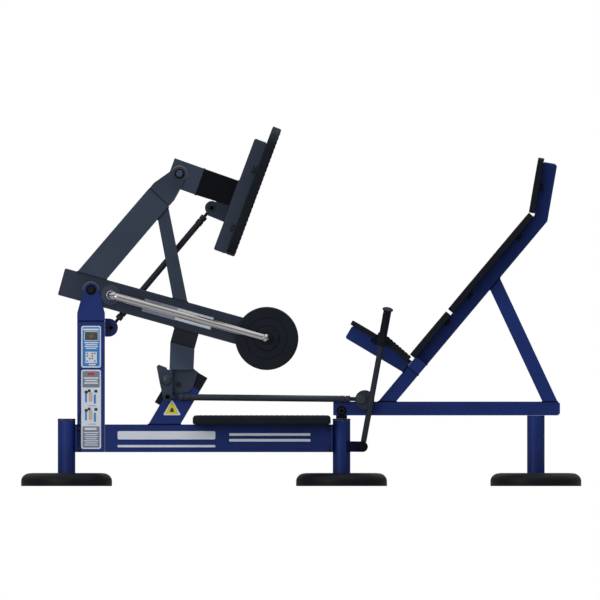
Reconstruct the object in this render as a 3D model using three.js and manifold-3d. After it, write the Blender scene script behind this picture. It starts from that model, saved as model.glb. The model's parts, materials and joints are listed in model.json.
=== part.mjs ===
// Plate-loaded leg press: a frame on three posts, a press arm with two captive weight discs,
// a foot board kept level by a link rod, and a hand lever that swings a catch under the arm.
// Millimetres, +Z up. X runs along the machine from the press arm's pivot to the head rest,
// Y across it, and the person's near side is -Y. The origin is on the floor, midway.
import * as THREE from 'three';
import Module from 'manifold-3d';
import { mergeVertices } from 'three/addons/utils/BufferGeometryUtils.js';

const wasm = await Module();
wasm.setup();

// ---------------------------------------------------------------- driving dimensions
const GAP = 0.3; // between parts that touch
const POST = { radius: 38, top: 292, left: -1016, middle: 174.7, right: 1016, flange: 75, flangeHeight: 14 };
const COVER = { radius: 197, height: 57, side: 21, shoulder: 158, wall: 5 };
const HALF = 30; // half width of the frame's box tubes
const BEAM = { left: -850, right: 129, bottom: 147, top: 267 };
const UPRIGHT = { left: -970, foot: -954, right: -850, top: 716, shoulder: 750, half: 40 };
const FLANGE = { thickness: 7, neck: 12 }; // bolted plates between the beams and the posts
const CHEEK = 8; // thickness of clevis cheeks
const EYE = 31.5; // radius of a clevis cheek's round end
const PIVOT_PIN = { radius: 15, cap: 21, capHeight: 6 };

const MAIN_PIVOT = [-910.2, 850.4];
const ARM_SLOPE = 15.5; // degrees down towards +X
const ARM = { rear: -130, front: 850, half: 60 };
const HORNS = [89, 790]; // distances from the main pivot
const RAIL = { radius: 16, reach: 130, bend: 34, boss: 43, bossHeight: 8 };
const DISC = { radius: 137, bore: 17, inner: 42, thickness: 45 };
const UPPER_PIVOT = [-527.4, 1352.7];

const LINK = { ground: [-824, 686.3], foot: [-387.1, 1205], y: 56, radius: 13.5, lug: 8 };
const ROD_END = { neck: 6.5, nut: 15, eye: 16, half: 8, bore: 7, play: 2.5 };

const FOOT = { foot: [-378.8, 1027.5], lean: 20.4, height: 508, depth: 56, rail: 40, half: 190 };
const BOARD = { height: 589, lip: 2, thickness: 40.5, half: 275, corner: 100 };

const STOP = { foot: [-592.5, 267], slope: 59.6, length: 204, half: 60, buffer: 64 };
const CATCH = { pivot: [-582.4, 460.3], pin: [-578.5, 385.8], shaft: 10, dome: 24, near: -70 };
const LEVER = { pivot: [265.9, 170.6], pin: [260.2, 376.7], top: [375.4, -239.2, 768], radius: 12.5 };
const GRIP = { radius: 16.5, length: 170 };
const LOCK = { y: -53, radius: 14 }; // the lock rod's plane and tube

const STEP = { left: -470, right: 128, top: 308, half: 150, chamfer: 12 };
const SEAT_BEAM = { left: 140, right: 1119, bottom: 306, top: 366 };
const BACK = { foot: [333, 366], slope: 50, depth: 60, bend: 1053, headLean: 9.85, head: 232 };
const CROSS_TUBE = { start: 199.5, end: 257.5, half: 120 };
const SEAT = { corner: [223.6, 694], slope: 30.7, front: -2.5, depth: 62, half: 145 };
const PAD = { thickness: 26.8, half: 150, corner: 14 };

// ---------------------------------------------------------------- materials
const paint = (color, roughness, metalness = 0) =>
  new THREE.MeshStandardMaterial({ color, roughness, metalness });
const BLUE = paint(0x21316e, 0.4);
const ANTHRACITE = paint(0x30363f, 0.45);
const RUBBER = paint(0x14181d, 0.8);
const CHROME = paint(0xc8ccd2, 0.12, 1);
const STEEL = paint(0x3a3f46, 0.35, 0.8);

// ---------------------------------------------------------------- shape helpers
const radians = THREE.MathUtils.degToRad;

// A frame in the XZ plane: u runs `slope` degrees down towards +X from the origin, v is up from it.
function slopedFrame([x, z], slope) {
  const cos = Math.cos(radians(slope));
  const sin = Math.sin(radians(slope));
  return (u, v) => [x + u * cos + v * sin, z - u * sin + v * cos];
}

function arc([x, z], radius, from, to, steps = 10) {
  const points = [];
  for (let i = 0; i <= steps; i++) {
    const angle = radians(from + ((to - from) * i) / steps);
    points.push([x + radius * Math.cos(angle), z + radius * Math.sin(angle)]);
  }
  return points;
}

const box = (left, right, bottom, top) => [[left, bottom], [right, bottom], [right, top], [left, top]];

// A plate with its outline in XZ, standing from nearY to farY; holes are [centre, radius].
function plate(outline, nearY, farY, holes = []) {
  const shape = new THREE.Shape(outline.map(([x, z]) => new THREE.Vector2(x, z)));
  for (const [[x, z], radius] of holes) {
    shape.holes.push(new THREE.Path().absarc(x, z, radius, 0, 2 * Math.PI, true));
  }
  const geometry = new THREE.ExtrudeGeometry(shape, {
    depth: farY - nearY,
    bevelEnabled: false,
    curveSegments: 12,
  });
  return geometry.rotateX(Math.PI / 2).translate(0, farY, 0);
}

function rod(from, to, radius, segments = 24) {
  const start = new THREE.Vector3(...from);
  const end = new THREE.Vector3(...to);
  const along = end.clone().sub(start);
  const turn = new THREE.Quaternion().setFromUnitVectors(
    new THREE.Vector3(0, 1, 0),
    along.clone().normalize(),
  );
  const geometry = new THREE.CylinderGeometry(radius, radius, along.length(), segments);
  geometry.applyQuaternion(turn);
  return geometry.translate(...start.add(end).multiplyScalar(0.5).toArray());
}

const pin = ([x, z], nearY, farY, radius, segments = 24) =>
  rod([x, nearY, z], [x, farY, z], radius, segments);

// A solid of revolution about a vertical line, from [radius, height] points.
function turned(profile, x, segments = 40) {
  const points = profile.map(([radius, height]) => new THREE.Vector2(radius, height));
  return new THREE.LatheGeometry(points, segments).rotateX(Math.PI / 2).translate(x, 0, 0);
}

function toSolid(geometry) {
  const bare = geometry.clone();
  bare.deleteAttribute('normal');
  bare.deleteAttribute('uv');
  const merged = mergeVertices(bare, 1e-4);
  return new wasm.Manifold(
    new wasm.Mesh({
      numProp: 3,
      vertProperties: new Float32Array(merged.attributes.position.array),
      triVerts: new Uint32Array(merged.index.array),
    }),
  );
}

function toGeometry(solid) {
  const mesh = solid.getMesh();
  const geometry = new THREE.BufferGeometry();
  geometry.setAttribute('position', new THREE.BufferAttribute(mesh.vertProperties, 3));
  geometry.setIndex(new THREE.BufferAttribute(mesh.triVerts, 1));
  return geometry;
}

const join = (first, ...others) =>
  toGeometry(others.reduce((solid, other) => solid.add(toSolid(other)), toSolid(first)));
const cut = (first, ...tools) =>
  toGeometry(tools.reduce((solid, tool) => solid.subtract(toSolid(tool)), toSolid(first)));

// Keeps what lies inside a rounded rectangle that is drawn on a sloped frame's u and y axes.
function roundCorners(geometry, onFrame, from, to, half, corner) {
  const shape = new THREE.Shape();
  shape.absarc(to - corner, half - corner, corner, 0, Math.PI / 2);
  shape.absarc(from + corner, half - corner, corner, Math.PI / 2, Math.PI);
  shape.absarc(from + corner, corner - half, corner, Math.PI, 1.5 * Math.PI);
  shape.absarc(to - corner, corner - half, corner, 1.5 * Math.PI, 2 * Math.PI);
  const reach = 400;
  const tool = new THREE.ExtrudeGeometry(shape, { depth: 2 * reach, bevelEnabled: false, curveSegments: 8 });
  const [x, z] = onFrame(0, -reach);
  const [ux, uz] = onFrame(1, -reach);
  const along = new THREE.Vector3(ux - x, 0, uz - z);
  const across = new THREE.Vector3(0, 1, 0);
  const turn = new THREE.Matrix4().makeBasis(along, across, along.clone().cross(across));
  tool.applyMatrix4(turn.setPosition(x, 0, z));
  return toGeometry(toSolid(geometry).intersect(toSolid(tool)));
}

// ---------------------------------------------------------------- the assembly
const legPress = new THREE.Group();
const bodies = {};
for (const body of ['frame', 'pressArm', 'discs', 'footCarriage', 'linkRod', 'catch', 'lever', 'lockRod']) {
  bodies[body] = new THREE.Group();
  legPress.add(bodies[body]);
}

function add(body, name, geometry, material) {
  const mesh = new THREE.Mesh(geometry, material);
  mesh.name = name;
  bodies[body].add(mesh);
  return mesh;
}

const arm = slopedFrame(MAIN_PIVOT, ARM_SLOPE);
const back = slopedFrame(BACK.foot, -BACK.slope); // u climbs the back rest, v points forwards
const foot = slopedFrame(FOOT.foot, FOOT.lean - 90); // u climbs the foot frame, v points away from the seat

// A pivot pin with a cap outside each cheek.
function cappedPin(centre, outer) {
  const { radius, cap, capHeight } = PIVOT_PIN;
  const edge = outer + GAP;
  return join(
    pin(centre, -edge - capHeight, edge + capHeight, radius, 32),
    pin(centre, -edge - capHeight, -edge, cap, 32),
    pin(centre, edge, edge + capHeight, cap, 32),
  );
}

// ---------------------------------------------------------------- posts and beams
function buildPosts() {
  const slope = arc([COVER.shoulder, COVER.side], 1, 0, 90, 5).map(([x, z]) => [
    COVER.shoulder + (x - COVER.shoulder) * (COVER.radius - COVER.shoulder),
    COVER.side + (z - COVER.side) * (COVER.height - COVER.side),
  ]);
  const inner = COVER.height - COVER.wall;
  const cover = [
    [COVER.radius, 0],
    ...slope,
    [POST.radius + GAP, COVER.height],
    [POST.radius + GAP, inner],
    [COVER.shoulder - COVER.wall, inner],
    [COVER.radius - COVER.wall, COVER.side],
    [COVER.radius - COVER.wall, 0],
    [COVER.radius, 0],
  ];
  for (const place of ['left', 'middle', 'right']) {
    const top = place === 'right' ? SEAT_BEAM.bottom - GAP : POST.top;
    const post = [
      [0, 0],
      [POST.flange, 0],
      [POST.flange, POST.flangeHeight],
      [POST.radius, POST.flangeHeight],
      [POST.radius, top],
      [0, top],
    ];
    add('frame', `foot_cover_${place}`, turned(cover, POST[place]), RUBBER);
    add('frame', `post_${place}`, turned(post, POST[place], 36), BLUE);
  }
}

// A narrow neck from a bolted plate to a post, hollowed to fit the post.
function postNeck(fromX, toX, postX) {
  const { bottom, top } = BEAM;
  const block = plate(box(fromX, toX, bottom, top), -FLANGE.neck, FLANGE.neck);
  return cut(block, rod([postX, 0, bottom - 10], [postX, 0, top + 10], POST.radius + GAP, 36));
}

function buildMainBeam() {
  const { left, right, bottom, top } = BEAM;
  const flange = (fromX, half) => plate(box(fromX, fromX + FLANGE.thickness, bottom, top), -half, half);
  const beam = plate(box(left + GAP, right + 1, bottom, top), -HALF, HALF);
  const beamNeck = postNeck(right, POST.middle, POST.middle);
  add('frame', 'main_beam', join(beam, flange(right, 50), beamNeck), BLUE);

  const { half: uprightHalf } = UPRIGHT;
  const column = plate(
    [
      [UPRIGHT.foot, bottom],
      [UPRIGHT.right, bottom],
      [UPRIGHT.right, UPRIGHT.top],
      [UPRIGHT.left, UPRIGHT.top],
      [UPRIGHT.left, top],
      [UPRIGHT.foot, top],
    ],
    -uprightHalf,
    uprightHalf,
  );
  const recess = plate(box(UPRIGHT.left - 1, UPRIGHT.foot + 1, bottom, top), -18, 18);
  const postFlange = flange(UPRIGHT.left + 1 - FLANGE.thickness, uprightHalf);
  const uprightNeck = postNeck(POST.left, UPRIGHT.left, POST.left);
  add('frame', 'upright', join(column, recess, postFlange, uprightNeck), BLUE);

  const cheek = [
    [UPRIGHT.left, UPRIGHT.top + GAP],
    [UPRIGHT.right, UPRIGHT.top + GAP],
    [UPRIGHT.right, UPRIGHT.shoulder],
    ...arc(MAIN_PIVOT, EYE, 20, 160, 14),
    [UPRIGHT.left, UPRIGHT.shoulder],
  ];
  const bore = [[MAIN_PIVOT, PIVOT_PIN.radius + GAP]];
  const outer = UPRIGHT.half;
  add('frame', 'upright_cheek_near', plate(cheek, -outer, CHEEK - outer, bore), BLUE);
  add('frame', 'upright_cheek_far', plate(cheek, outer - CHEEK, outer, bore), BLUE);
  add('frame', 'main_pivot_pin', cappedPin(MAIN_PIVOT, outer), STEEL);

  const [x, z] = LINK.ground;
  const lugHalf = 39.5;
  const lugStart = UPRIGHT.right + GAP;
  const lug = [[lugStart, z - lugHalf], ...arc([x - 9, z], lugHalf, -90, 90, 14), [lugStart, z + lugHalf]];
  const lugFace = LINK.y - ROD_END.half - 1;
  const pinEnd = LINK.y + ROD_END.half + 4;
  add(
    'frame',
    'link_lug',
    join(
      plate(lug, lugFace - LINK.lug - 6, lugFace),
      pin(LINK.ground, lugFace - 2, pinEnd, ROD_END.bore - GAP),
    ),
    BLUE,
  );

  const { left: stepLeft, right: stepRight, top: stepTop, half, chamfer } = STEP;
  const step = [
    [stepLeft, top + GAP],
    [stepRight, top + GAP],
    ...arc([stepRight - chamfer, stepTop - chamfer], chamfer, 0, 90, 5),
    ...arc([stepLeft + chamfer, stepTop - chamfer], chamfer, 90, 180, 5),
  ];
  const mat = plate(step, -half, half);
  add('frame', 'step_pad', roundCorners(mat, slopedFrame([0, 0], 0), stepLeft, stepRight, half, 14), RUBBER);
}

// ---------------------------------------------------------------- stop post and catch
function buildStopPost() {
  const post = slopedFrame(STOP.foot, -STOP.slope); // u climbs the post, v points to its upper side
  const { length, half, buffer } = STOP;
  const [footX] = STOP.foot;
  const halfFoot = half / Math.sin(radians(STOP.slope));
  const floor = BEAM.top + GAP;
  const body = [
    [footX - halfFoot, floor],
    [footX + halfFoot, floor],
    post(length, -half),
    post(length, half),
  ];
  add('frame', 'stop_post', plate(body, -HALF, HALF), BLUE);

  const topBlock = [
    post(length + GAP, half),
    post(length + GAP, -half),
    post(length + buffer, -half),
    post(length + buffer, half),
  ];
  add('frame', 'stop_buffer', plate(topBlock, -HALF, HALF), RUBBER);

  const padStart = 61.5;
  const padEnd = 146;
  const proud = half + 25;
  const sidePad = [
    post(padStart, half + GAP),
    post(padEnd, half + GAP),
    post(padEnd, proud),
    post(padStart, proud),
  ];
  add('frame', 'stop_side_pad', plate(sidePad, -HALF, HALF), RUBBER);

  const [pivotX, pivotZ] = CATCH.pivot;
  const cheek = [
    ...arc([pivotX, pivotZ], 23, 120, 215, 8),
    ...arc([-521, 500], 97, 232, 290, 8),
    [-470.5, 421.7],
    [-449.5, 484.7],
    [-445.6, 494],
    [-458, 501.5],
    [-474, 518],
    [-564, 518],
    [-568, 501.5],
  ];
  const bore = [[CATCH.pivot, CATCH.shaft + GAP]];
  add('frame', 'stop_cheek_near', plate(cheek, -HALF - GAP - CHEEK, -HALF - GAP, bore), ANTHRACITE);
  add('frame', 'stop_cheek_far', plate(cheek, HALF + GAP, HALF + GAP + CHEEK, bore), ANTHRACITE);
}

function buildCatch() {
  const { pivot, shaft, dome, near } = CATCH;
  const [x, z] = pivot;
  const [pinX, pinZ] = CATCH.pin;
  const carry = 44.9; // radius of the edge that the support column stands on
  const upper = [
    [x + 26, z + 3],
    ...arc(pivot, carry, 58, 88, 6),
    [x + 1.3, z + 52.3],
    [x - 34.5, z + 66],
    [x - 44, z + 57.5],
  ];
  const crank = [...upper, [x - 30, z - 16.4], ...arc([pinX, pinZ], 19.5, 188, 352, 12)];
  const far = near + CHEEK;
  const nearPlate = plate(crank, near, far, [[pivot, shaft + GAP]]);
  const crankPin = pin(CATCH.pin, far - 1, LOCK.y + ROD_END.half, ROD_END.bore - GAP);
  add('catch', 'catch_plate_near', join(nearPlate, crankPin), ANTHRACITE);
  const plain = [...upper, ...arc(pivot, 27, 200, 345, 10)];
  add('catch', 'catch_plate_far', plate(plain, -far, -near, [[pivot, shaft + GAP]]), ANTHRACITE);

  const domeProfile = arc([0, 0], 1, 0, 90, 6).map(([u, v]) => new THREE.Vector2(dome * u, 15 * v));
  const cap = new THREE.LatheGeometry([new THREE.Vector2(0, 0), ...domeProfile], 32);
  const nearCap = cap.clone().rotateX(Math.PI).translate(x, near - GAP, z);
  const farCap = cap.clone().translate(x, GAP - near, z);
  add('catch', 'catch_shaft', join(pin(pivot, near - 2, 2 - near, shaft), nearCap, farCap), STEEL);
}

// ---------------------------------------------------------------- press arm
function buildPressArm() {
  const { rear, front, half } = ARM;
  const outline = [arm(rear, -half), arm(front, -half), arm(front, half), arm(rear, half)];
  const beam = plate(outline, -HALF, HALF, [[MAIN_PIVOT, PIVOT_PIN.radius + 0.5]]);
  const bosses = HORNS.map((horn) =>
    pin(arm(horn, 0), -HALF - RAIL.bossHeight, HALF + RAIL.bossHeight, RAIL.boss, 36),
  );
  add('pressArm', 'main_arm', join(beam, ...bosses), ANTHRACITE);

  const top = half + GAP;
  const upperArm = [arm(-77.6, top), arm(53, top), [-572, 1213], [-658, 1291]];
  add('pressArm', 'upper_arm', plate(upperArm, -UPRIGHT.half, UPRIGHT.half), ANTHRACITE);

  const cheek = [
    [-656, 1291.5],
    [-570.5, 1213.8],
    [-548.7, 1238.8],
    [-520.5, 1290.8],
    ...arc(UPPER_PIVOT, EYE, -35, 125, 14),
    [-637.4, 1313.5],
  ];
  const bore = [[UPPER_PIVOT, PIVOT_PIN.radius + GAP]];
  const outer = UPRIGHT.half;
  add('pressArm', 'arm_cheek_near', plate(cheek, -outer, CHEEK - outer, bore), ANTHRACITE);
  add('pressArm', 'arm_cheek_far', plate(cheek, outer - CHEEK, outer, bore), ANTHRACITE);
  add('pressArm', 'upper_pivot_pin', cappedPin(UPPER_PIVOT, outer), STEEL);

  const brace = [arm(350.3, top), arm(417.2, top), [-575, 1208], [-621, 1154]];
  add('pressArm', 'arm_brace', plate(brace, -HALF, HALF), ANTHRACITE);

  const stubBottom = -127;
  const stub = [
    arm(391.5, stubBottom),
    arm(500.5, stubBottom),
    arm(500.5, -half - GAP),
    arm(391.5, -half - GAP),
  ];
  add('pressArm', 'arm_stub', plate(stub, -HALF, HALF), ANTHRACITE);

  const columnFoot = CATCH.pivot[1] + 43.6;
  const column = [
    [-570.5, columnFoot],
    [-466, columnFoot],
    arm(500.5, stubBottom - GAP),
    arm(391.5, stubBottom - GAP),
  ];
  const slot = [arm(350, stubBottom - 14), arm(560, stubBottom - 14), arm(560, -300), arm(350, -300)];
  const outside = -CATCH.near;
  add(
    'pressArm',
    'support_column',
    cut(plate(column, -outside, outside), plate(slot, CHEEK - outside, outside - CHEEK)),
    ANTHRACITE,
  );
}

// One chrome loop: out from a boss, along the arm and back in to the other boss.
function railLoop(side) {
  const { radius, reach, bend, bossHeight } = RAIL;
  const [first, last] = HORNS;
  const start = HALF + bossHeight + GAP;
  const straightEnd = reach - bend;
  const segments = 16;
  const at = (u, y) => [arm(u, 0)[0], side * y, arm(u, 0)[1]];
  const section = new THREE.Shape().absarc(0, 0, radius, 0, 2 * Math.PI);
  const elbow = (from, corner, to) => {
    const points = [from, corner, to].map((point) => new THREE.Vector3(...point));
    const extrudePath = new THREE.QuadraticBezierCurve3(...points);
    return new THREE.ExtrudeGeometry(section, { steps: 6, extrudePath, curveSegments: segments / 2 });
  };
  const lap = 0.5;
  return join(
    rod(at(first, start), at(first, straightEnd + lap), radius, segments),
    elbow(at(first, straightEnd), at(first, reach), at(first + bend, reach)),
    rod(at(first + bend - lap, reach), at(last - bend + lap, reach), radius, segments),
    elbow(at(last - bend, reach), at(last, reach), at(last, straightEnd)),
    rod(at(last, straightEnd + lap), at(last, start), radius, segments),
  );
}

function buildWeights() {
  const { radius, bore, inner, thickness } = DISC;
  const [x, z] = arm(HORNS[1], 0);
  for (const [place, side] of [['near', -1], ['far', 1]]) {
    add('pressArm', `load_rail_${place}`, railLoop(side), CHROME);

    const half = thickness / 2;
    const profile = [
      [bore, -half],
      [inner, -half],
      [inner + 8, 4 - half],
      [radius - 6, 4 - half],
      [radius, 9 - half],
      [radius, half - 9],
      [radius - 6, half - 4],
      [inner + 8, half - 4],
      [inner, half],
      [bore, half],
      [bore, -half],
    ].map(([r, height]) => new THREE.Vector2(r, height));
    const disc = add('discs', `weight_disc_${place}`, new THREE.LatheGeometry(profile, 48), RUBBER);
    disc.position.set(x, side * (HALF + RAIL.bossHeight + 2 + half), z);
  }
}

// ---------------------------------------------------------------- foot carriage
function buildFootCarriage() {
  const { height, depth, rail, half } = FOOT;
  const band = (from, to, near, far) => [foot(from, near), foot(to, near), foot(to, far), foot(from, far)];
  const side = band(0, height, 0, -depth);
  add('footCarriage', 'foot_frame_near', plate(side, -half, rail - half), ANTHRACITE);
  add('footCarriage', 'foot_frame_far', plate(side, half - rail, half), ANTHRACITE);
  const inside = half - rail - GAP;
  for (const [place, from, to] of [['lower', 12, 62], ['middle', 122, 318], ['upper', 446, 496]]) {
    const tube = plate(band(from, to, -1, 1 - depth), -inside, inside);
    add('footCarriage', `foot_frame_${place}`, tube, ANTHRACITE);
  }
  const face = -depth - GAP;
  const corner = 8;
  const rounded = face - BOARD.thickness + corner;
  const low = -BOARD.lip;
  const high = BOARD.height - BOARD.lip;
  const board = [
    foot(low, face),
    foot(high, face),
    ...arc(foot(high - corner, rounded), corner, 90 - FOOT.lean, -FOOT.lean, 4),
    ...arc(foot(low + corner, rounded), corner, -FOOT.lean, -FOOT.lean - 90, 4),
  ];
  const slab = plate(board, -BOARD.half, BOARD.half);
  add('footCarriage', 'foot_board', roundCorners(slab, foot, low, high, BOARD.half, BOARD.corner), RUBBER);

  const tube = slopedFrame(UPPER_PIVOT, 19.6);
  const headLength = 95;
  const frameFace = 0.8; // clear of the frame's middle tube
  const head = [tube(-42, -63), tube(headLength, -63), tube(headLength, 57), tube(-42, 57)];
  const neckStart = headLength + GAP;
  const neck = [tube(neckStart, -63), foot(199, frameFace), foot(314, frameFace), tube(neckStart, 57)];
  const bore = [[UPPER_PIVOT, PIVOT_PIN.radius + 0.5]];
  add('footCarriage', 'foot_arm_head', plate(head, -HALF, HALF, bore), ANTHRACITE);
  add('footCarriage', 'foot_arm_neck', plate(neck, -22, 22), STEEL);

  const lug = [
    ...arc(LINK.foot, 30, 60, 215, 12),
    [LINK.foot[0] - 17, LINK.foot[1] - 33],
    foot(124, frameFace),
    foot(230, frameFace),
  ];
  const lugFace = LINK.y - ROD_END.half - 1;
  const lugPin = pin(LINK.foot, lugFace - 2, LINK.y + ROD_END.half + 4, ROD_END.bore - GAP);
  add('footCarriage', 'foot_lug', join(plate(lug, lugFace - 2 * LINK.lug, lugFace), lugPin), ANTHRACITE);
}

// A tube with a nut, a thin neck and an eye at each end, in a plane of constant Y.
function eyedRod([x1, z1], [x2, z2], y, radius, bores) {
  const start = new THREE.Vector3(x1, y, z1);
  const end = new THREE.Vector3(x2, y, z2);
  const along = end.clone().sub(start).normalize();
  const at = (origin, distance) => origin.clone().addScaledVector(along, distance).toArray();
  const { neck, nut, eye, half } = ROD_END;
  const pieces = [rod(start.toArray(), end.toArray(), neck)];
  pieces.push(rod(at(start, 74), at(end, -74), radius));
  pieces.push(rod(at(start, 48), at(start, 76), nut, 6), rod(at(end, -76), at(end, -48), nut, 6));
  pieces.push(pin([x1, z1], y - half, y + half, eye), pin([x2, z2], y - half, y + half, eye));
  const holes = [
    pin([x1, z1], y - half - 1, y + half + 1, bores[0]),
    pin([x2, z2], y - half - 1, y + half + 1, bores[1]),
  ];
  return cut(join(...pieces), ...holes);
}

function buildRods() {
  const { bore, play } = ROD_END;
  const link = eyedRod(LINK.ground, LINK.foot, LINK.y, LINK.radius, [bore, bore + play]);
  add('linkRod', 'link_rod', link, ANTHRACITE);
  const lock = eyedRod(CATCH.pin, LEVER.pin, LOCK.y, LOCK.radius, [bore + play, bore]);
  add('lockRod', 'lock_rod', lock, ANTHRACITE);
}

// ---------------------------------------------------------------- lock lever
function buildLever() {
  const [x, z] = LEVER.pivot;
  const post = POST.middle;
  const outside = 32;
  const inside = 24;
  const outline = [[post, z - 22], ...arc([x, z], 23, -85, 85, 12), [post, z + 24]];
  const slot = box(x - 34, x + 40, z - 40, z + 40);
  const fork = cut(
    plate(outline, -outside, outside),
    plate(slot, -inside, inside),
    rod([post, 0, z - 60], [post, 0, z + 60], POST.radius + GAP, 36),
  );
  const head = outside + 6;
  const pivotPin = join(
    pin([x, z], -head, head, 8),
    pin([x, z], -head, 1 - outside, 17.3),
    pin([x, z], outside - 1, head, 17.3),
  );
  add('frame', 'lever_bracket', join(fork, pivotPin), BLUE);

  const foot3 = new THREE.Vector3(x, 0, z);
  const top = new THREE.Vector3(...LEVER.top);
  const along = top.clone().sub(foot3);
  const length = along.length();
  along.normalize();
  const at = (distance) => foot3.clone().addScaledVector(along, distance).toArray();
  const gripStart = length - GRIP.length;

  const { pin: leverPin } = LEVER;
  const tube = rod(at(22), at(length - 8), LEVER.radius);
  const eyeHalf = 18;
  const eye = pin([x, z], -eyeHalf, eyeHalf, 21);
  const neck = rod(at(8), at(30), 10);
  const lug = pin([275, 373.7], LOCK.y - 22, LOCK.y - 9, 42, 40);
  const lugPin = join(
    pin(leverPin, LOCK.y - 20, LOCK.y + 9, ROD_END.bore - GAP),
    pin(leverPin, LOCK.y - 30, LOCK.y - 21, 19),
  );
  const lever = cut(join(tube, neck, eye, lug, lugPin), pin([x, z], -eyeHalf - 1, eyeHalf + 1, 8 + GAP));
  add('lever', 'lock_lever', lever, ANTHRACITE);

  const grip = join(
    rod(at(gripStart), at(length), GRIP.radius),
    rod(at(length - 7), at(length), 22.5),
    rod(at(gripStart), at(gripStart + 5), 19.5),
  );
  const socket = rod(at(gripStart - 1), at(length - 7.5), LEVER.radius + GAP);
  add('lever', 'lever_grip', cut(grip, socket), RUBBER);
}

// ---------------------------------------------------------------- seat and back rest
function buildSeatFrame() {
  const { left, right, bottom, top } = SEAT_BEAM;
  const postX = POST.middle;
  const boltZ = 326.1;
  const bolt = [postX, boltZ];
  const radius = 8;
  const beam = plate(
    [
      [left, bottom],
      [right - 8, bottom],
      [right, bottom + 8],
      [right, top - 8],
      [right - 8, top],
      [left, top],
    ],
    -HALF,
    HALF,
    [[bolt, radius + GAP]],
  );
  const lugHalf = 24;
  const lugTop = 352;
  const onPost = (halfX, low, high) => box(postX - halfX, postX + halfX, low, high);
  const beamSlot = plate(onPost(lugHalf + GAP, bottom - 1, lugTop + GAP), -10 - GAP, 10 + GAP);
  add('frame', 'seat_beam', cut(beam, beamSlot), BLUE);
  const lugPlate = plate(onPost(lugHalf, POST.top + GAP, lugTop), -10, 10, [[bolt, radius + GAP]]);
  const lugFoot = plate(onPost(lugHalf, POST.top + GAP, bottom - GAP), -HALF, HALF);
  add('frame', 'seat_beam_lug', join(lugPlate, lugFoot), BLUE);
  const face = HALF + GAP;
  add(
    'frame',
    'seat_beam_bolt',
    join(
      pin(bolt, -face - 8, face + 8, radius),
      pin(bolt, -face - 8, -face, 21),
      pin(bolt, face, face + 8, 21),
    ),
    STEEL,
  );

  const { depth, slope } = BACK;
  const onBeam = (v) => BACK.foot[0] + -v / Math.sin(radians(slope));
  const { start, end, half } = CROSS_TUBE;
  const strut = [
    [onBeam(0), top + GAP],
    [onBeam(-depth), top + GAP],
    back(start - GAP, -depth),
    back(start - GAP, 0),
  ];
  add('frame', 'seat_strut', plate(strut, -HALF, HALF), BLUE);
  const cross = [back(start, -depth), back(end, -depth), back(end, 0), back(start, 0)];
  add('frame', 'seat_cross_tube', plate(cross, -half, half), BLUE);

  const inner = back(BACK.bend, 0);
  const turn = radians(90 - BACK.headLean - slope);
  const outer = back(BACK.bend + depth * Math.tan(turn / 2), -depth);
  const head = slopedFrame(inner, BACK.headLean - 90);
  const backTube = [
    back(end + GAP, 0),
    back(end + GAP, -depth),
    outer,
    head(BACK.head - 6, -depth),
    head(BACK.head, 6 - depth),
    head(BACK.head, 0),
    inner,
  ];
  add('frame', 'back_tube', plate(backTube, -HALF, HALF), BLUE);

  const rearFace = -depth - GAP;
  const rear = [[1044, top + GAP], [1110, top + GAP], back(749, rearFace), back(682.5, rearFace)];
  add('frame', 'rear_strut', plate(rear, -HALF, HALF), BLUE);

  const tube = slopedFrame(SEAT.corner, SEAT.slope);
  const chamfer = 6;
  const seatTube = [
    tube(SEAT.front + chamfer, 0),
    tube(SEAT.front, -chamfer),
    tube(SEAT.front, chamfer - SEAT.depth),
    tube(SEAT.front + chamfer, -SEAT.depth),
    tube(340, -SEAT.depth),
    tube(340, 0),
  ];
  const backRest = [back(0, GAP), back(0, -200), back(400, -200), back(400, GAP)];
  add('frame', 'seat_tube', cut(plate(seatTube, -HALF, HALF), plate(backRest, -50, 50)), BLUE);
  return { head, tube };
}

function buildPads({ head, tube }) {
  const overTube = [tube(-20, GAP), tube(340, GAP), tube(340, -70), tube(-20, -70)];
  const slotForTube = plate(overTube, -HALF - 1, HALF + 1);
  const frontPad = [tube(-13, GAP), tube(119, GAP), tube(112, 21.5), tube(-9, 21.5), tube(-13, 17.5)];
  const { thickness, half, corner } = PAD;
  const front = plate(frontPad, -SEAT.half, SEAT.half);
  add('frame', 'seat_front_pad', roundCorners(front, tube, -13, 119, SEAT.half, corner), RUBBER);
  const underside = [tube(124, 1), [398, 588], [452, 540.8], [459, 535.7]];
  const rearPad = [...underside, [477, 560], [345, 671.5], [333, 664]];
  add('frame', 'seat_rear_pad', cut(plate(rearPad, -SEAT.half, SEAT.half), slotForTube), RUBBER);

  const addCushion = (name, onFrame, from, to) => {
    const outline = [
      onFrame(from, GAP),
      onFrame(to, GAP),
      onFrame(to, thickness - 3),
      onFrame(to - 3, thickness),
      onFrame(from + 3, thickness),
      onFrame(from, thickness - 3),
    ];
    add('frame', name, roundCorners(plate(outline, -half, half), onFrame, from, to, half, corner), RUBBER);
  };
  addCushion('back_pad_lower', back, 245, 489);
  addCushion('back_pad_upper', back, 501, 1046.5);
  addCushion('head_pad', head, 7.5, 250);
}

buildPosts();
buildMainBeam();
buildStopPost();
buildPads(buildSeatFrame());
buildPressArm();
buildWeights();
buildFootCarriage();
buildCatch();
buildLever();
buildRods();

export default legPress;
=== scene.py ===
# Looks of a plate-loaded leg press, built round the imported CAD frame.
# Shapes are written in millimetres in the CAD frame: X along the machine, Y across it, Z up.
import json
from math import cos, hypot, pi, radians, sin, sqrt

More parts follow.
